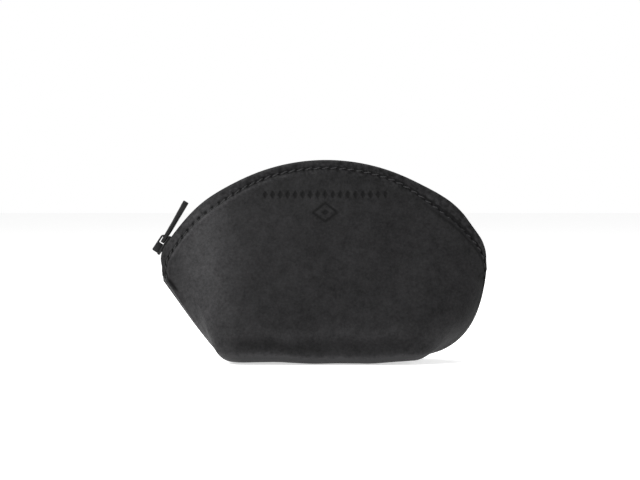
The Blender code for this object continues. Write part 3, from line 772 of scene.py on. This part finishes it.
for word, flip in (("front", False), ("back", True)):
    layers = []
    for layer in (0, 1):
        depth = leather + tape_lining + layer * tape_thickness
        radial = chain_below - tape_thickness / 2 + layer * tape_thickness
        rows = []
        for y in (selvedge, (selvedge + turn) / 2, turn - layer * 0.7 * tape_thickness):
            row = edge - edge_out * radial
            row[:, 1] = -y
            rows.append(row)
        rows.extend(sheet_point - sheet_normal * depth)
        rows = np.array(rows)
        rows[..., 0] = np.clip(rows[..., 0], middle_x - tape_x_limit, middle_x + tape_x_limit)
        rows[..., 1] = np.minimum(rows[..., 1], -tape_gap)
        layers.append(rows)
    outer, inner = layers
    tape = closed_sheet(f"{word}_zip_tape", outer, inner, (outer[0] + inner[0]) / 2, flip)
    steps = np.linalg.norm(np.diff(outer[:, tape_columns // 2], axis=0), axis=-1)
    across = np.concatenate([[0.0], np.cumsum(steps)])
    layout = np.stack(np.meshgrid(d, across), -1).reshape(-1, 2)
    layout = np.concatenate([layout, layout, np.stack([d, 0 * d], -1)])
    uv = tape.data.uv_layers.new(name="weave")
    corner_verts = np.zeros(len(tape.data.loops), np.int32)
    tape.data.loops.foreach_get("vertex_index", corner_verts)
    uv.data.foreach_set("uv", layout[corner_verts].astype(np.float32).ravel())
    tape.data.materials.append(tape_finish.material)
    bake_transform(tape)
    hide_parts(*(f"{word}_tape_{part}" for part in ("left", "top", "right")))


# ------------------------------------------------------------------ zip teeth
# Moulded nylon teeth on a cord along each tape's edge. A tooth clasps the cord, narrows to a
# neck and ends in a head that sits between two heads of the other row when the zip is shut.

tooth_pitch = 0.0024
tooth_margin = 0.0006
chain_start = 0.0058
cord_y = 0.0022
cord_radius = 0.00042
cord_overrun = 0.0008
cord_steps = 240
# From the clasp to the head: y, and half the tooth's length and height there.
tooth_stations = ((-0.0027, 0.00038, 0.00050), (-0.0025, 0.00050, 0.00078),
                  (-0.0016, 0.00050, 0.00082), (-0.0013, 0.00034, 0.00060),
                  (-0.0004, 0.00032, 0.00058), (-0.0001, 0.00052, 0.00072),
                  (0.0005, 0.00050, 0.00070), (0.0008, 0.00034, 0.00048))
chamfer = 0.7

nylon_finish = Finish("zip_nylon", Roughness=0.42, Specular_IOR_Level=0.3)
moulded = nylon_finish.grain(1800.0, 3.0, 0.6)
nylon_finish.feed("Base Color", nylon_finish.colours(moulded, (0.005, 0.005, 0.0052),
                                                     (0.015, 0.015, 0.0155)))
nylon_finish.feed("Roughness", 0.36 + moulded * 0.2)
nylon_finish.bump(moulded, 0.2, 0.0001)


def tooth_ring(a, b):
    """Eight corners of a chamfered section, a and b being half its length and height."""
    return [(a, chamfer * b), (chamfer * a, b), (-chamfer * a, b), (-a, chamfer * b),
            (-a, -chamfer * b), (-chamfer * a, -b), (chamfer * a, -b), (a, -chamfer * b)]


for word, flip in (("front", False), ("back", True)):
    first_tooth = chain_start + tooth_margin + (tooth_pitch / 2 if flip else 0.0)
    teeth_at = np.arange(first_tooth, zip_length - chain_start, tooth_pitch)
    teeth_point, teeth_out = zip_line(teeth_at)
    points, faces = [], []
    for base, out in zip(teeth_point, teeth_out):
        forward = np.array((out[2], 0.0, -out[0]))
        seat = base - out * chain_below
        first = len(points)
        for y, half_long, half_high in tooth_stations:
            for a, b in tooth_ring(half_long, half_high):
                points.append(seat + forward * a + out * b + np.array((0.0, y, 0.0)))
        rings = len(tooth_stations)
        for r in range(rings - 1):
            for k in range(8):
                n = (k + 1) % 8
                low = first + 8 * r
                faces.append((low + k, low + n, low + 8 + n, low + 8 + k))
        faces.append(tuple(first + k for k in reversed(range(8))))
        faces.append(tuple(first + 8 * (rings - 1) + k for k in range(8)))
    cord_d = np.linspace(chain_start - cord_overrun, zip_length - chain_start + cord_overrun,
                         cord_steps)
    cord_point, cord_out = zip_line(cord_d)
    cord_path = cord_point - cord_out * chain_below
    cord_path[:, 1] = -cord_y
    round_cord(cord_path, cord_radius, 6, points, faces)
    points = np.array(points)
    if flip:
        points = points * (1.0, -1.0, 1.0)
    teeth = add_mesh(f"{word}_zip_teeth", points, faces, nylon_finish)
    cleaned = bmesh.new()
    cleaned.from_mesh(teeth.data)
    bmesh.ops.recalc_face_normals(cleaned, faces=cleaned.faces[:])
    cleaned.to_mesh(teeth.data)
    cleaned.free()
    teeth.data.set_sharp_from_angle(angle=radians(50.0))
    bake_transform(teeth)
    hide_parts(*(f"{word}_teeth_{part}" for part in ("left", "top", "right")))


# ------------------------------------------------------------------ stops
# Small clips crimped over the chain: one on each row at the closed end, and one across both
# rows at the open end, where the slider stops when the purse is unzipped.

def softened(name, node, bevel, finish, body, reshape=None):
    """A copy of a CAD node's shape with its edges rounded as moulding leaves them."""
    bpy.ops.object.select_all(action="DESELECT")
    source = frame["nodes"][node]
    mesh = source.data.copy()
    mesh.materials.clear()
    mesh.materials.append(finish.material)
    obj = bpy.data.objects.new(name, mesh)
    scene.collection.objects.link(obj)
    work = bmesh.new()
    work.from_mesh(mesh)
    bmesh.ops.remove_doubles(work, verts=work.verts[:], dist=0.000004)
    bmesh.ops.dissolve_limit(work, angle_limit=radians(2.0), verts=work.verts[:],
                             edges=work.edges[:])
    if reshape:
        for vert in work.verts:
            vert.co = reshape(vert.co)
    work.to_mesh(mesh)
    work.free()
    obj.select_set(True)
    bpy.context.view_layer.objects.active = obj
    rounding = obj.modifiers.new("rounding", "BEVEL")
    rounding.width = bevel
    rounding.segments = 3
    rounding.limit_method = "ANGLE"
    rounding.angle_limit = radians(25.0)
    bpy.ops.object.modifier_apply(modifier=rounding.name)
    mesh.shade_smooth()
    mesh.set_sharp_from_angle(angle=radians(40.0))
    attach(obj, body)
    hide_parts(node)
    return obj


for node in ("front_top_stop", "back_top_stop", "bottom_stop"):
    stop = softened(f"{node}_clip", node, 0.0002, nylon_finish, "root")


# ------------------------------------------------------------------ slider and puller
# Die-cast zinc, enamelled black: a body of two plates held by a bridge, a crown riveted over
# its top, and a flat puller whose bar turns under the crown. The enamel is lightly scuffed.

enamel = Finish("black_enamelled_metal", Roughness=0.42, Specular_IOR_Level=0.14)
speckle = enamel.grain(1400.0, 4.0, 0.65)
scuff = enamel.grain(420.0, 5.0, 0.7)
enamel.feed("Base Color", enamel.colours(scuff, (0.002, 0.002, 0.0021), (0.007, 0.007, 0.0073)))
enamel.feed("Roughness", 0.34 + scuff * 0.2)
enamel.bump(speckle * 0.6 + scuff * 0.4, 0.12, 0.0001)

slider_angle = radians(146.3)
outward = Vector((cos(slider_angle), 0.0, sin(slider_angle)))
forward = Vector((sin(slider_angle), 0.0, -cos(slider_angle)))
seat = Vector((arch_x, 0.0, arch_z)) + outward * arch_radius
plate_top = 0.0010
plate_end = 0.0043
crown_sink = 0.00005
crown_foot = 0.0005
window_rear = (-0.0012, -0.0004)
tab_rise, tab_slope = 0.00185, 0.0717
tab_thicker, tab_thicker_outside, tab_outside = 0.0004, 0.00015, 0.0085
tip_swell, tip_start = 0.00014, 0.0165


def along_and_out(place):
    """How far a point is along the zip from the slider's seat, and out from the plate."""
    local = place - seat
    return local.dot(forward), local.dot(outward)


def moved_to(along, out, y):
    place = seat + forward * along + outward * out
    return place.x, y, place.z


def fuller_bail(place):
    """The bail's feet run down into the plate, and its rear block fills half the window."""
    along, out = along_and_out(place)
    if out < plate_top + crown_foot:
        out = plate_top - crown_sink
    if window_rear[0] < along < window_rear[1]:
        along = 0.0
    return moved_to(along, out, place.y)


def fuller_puller(place):
    """The cast tab is thicker past the plate and swells a little at its tip."""
    along, out = along_and_out(place)
    swell = tip_swell * float(smooth((along - tip_start) / 0.002))
    if out > tab_rise + along * tab_slope:
        return moved_to(along, out + swell, place.y)
    thicker = tab_thicker + tab_thicker_outside * float(smooth((along - tab_outside) / 0.003))
    past = float(smooth((along - plate_end) / 0.001))
    return moved_to(along, out - thicker * past - swell, place.y)


for name, node, bevel, body, reshape in (
        ("slider_plates", "slider_body", 0.00022, "slider", None),
        ("slider_bail", "slider_crown", 0.0002, "slider", fuller_bail),
        ("puller_tab", "puller", 0.00028, "puller", fuller_puller)):
    part = softened(name, node, bevel, enamel, body, reshape)
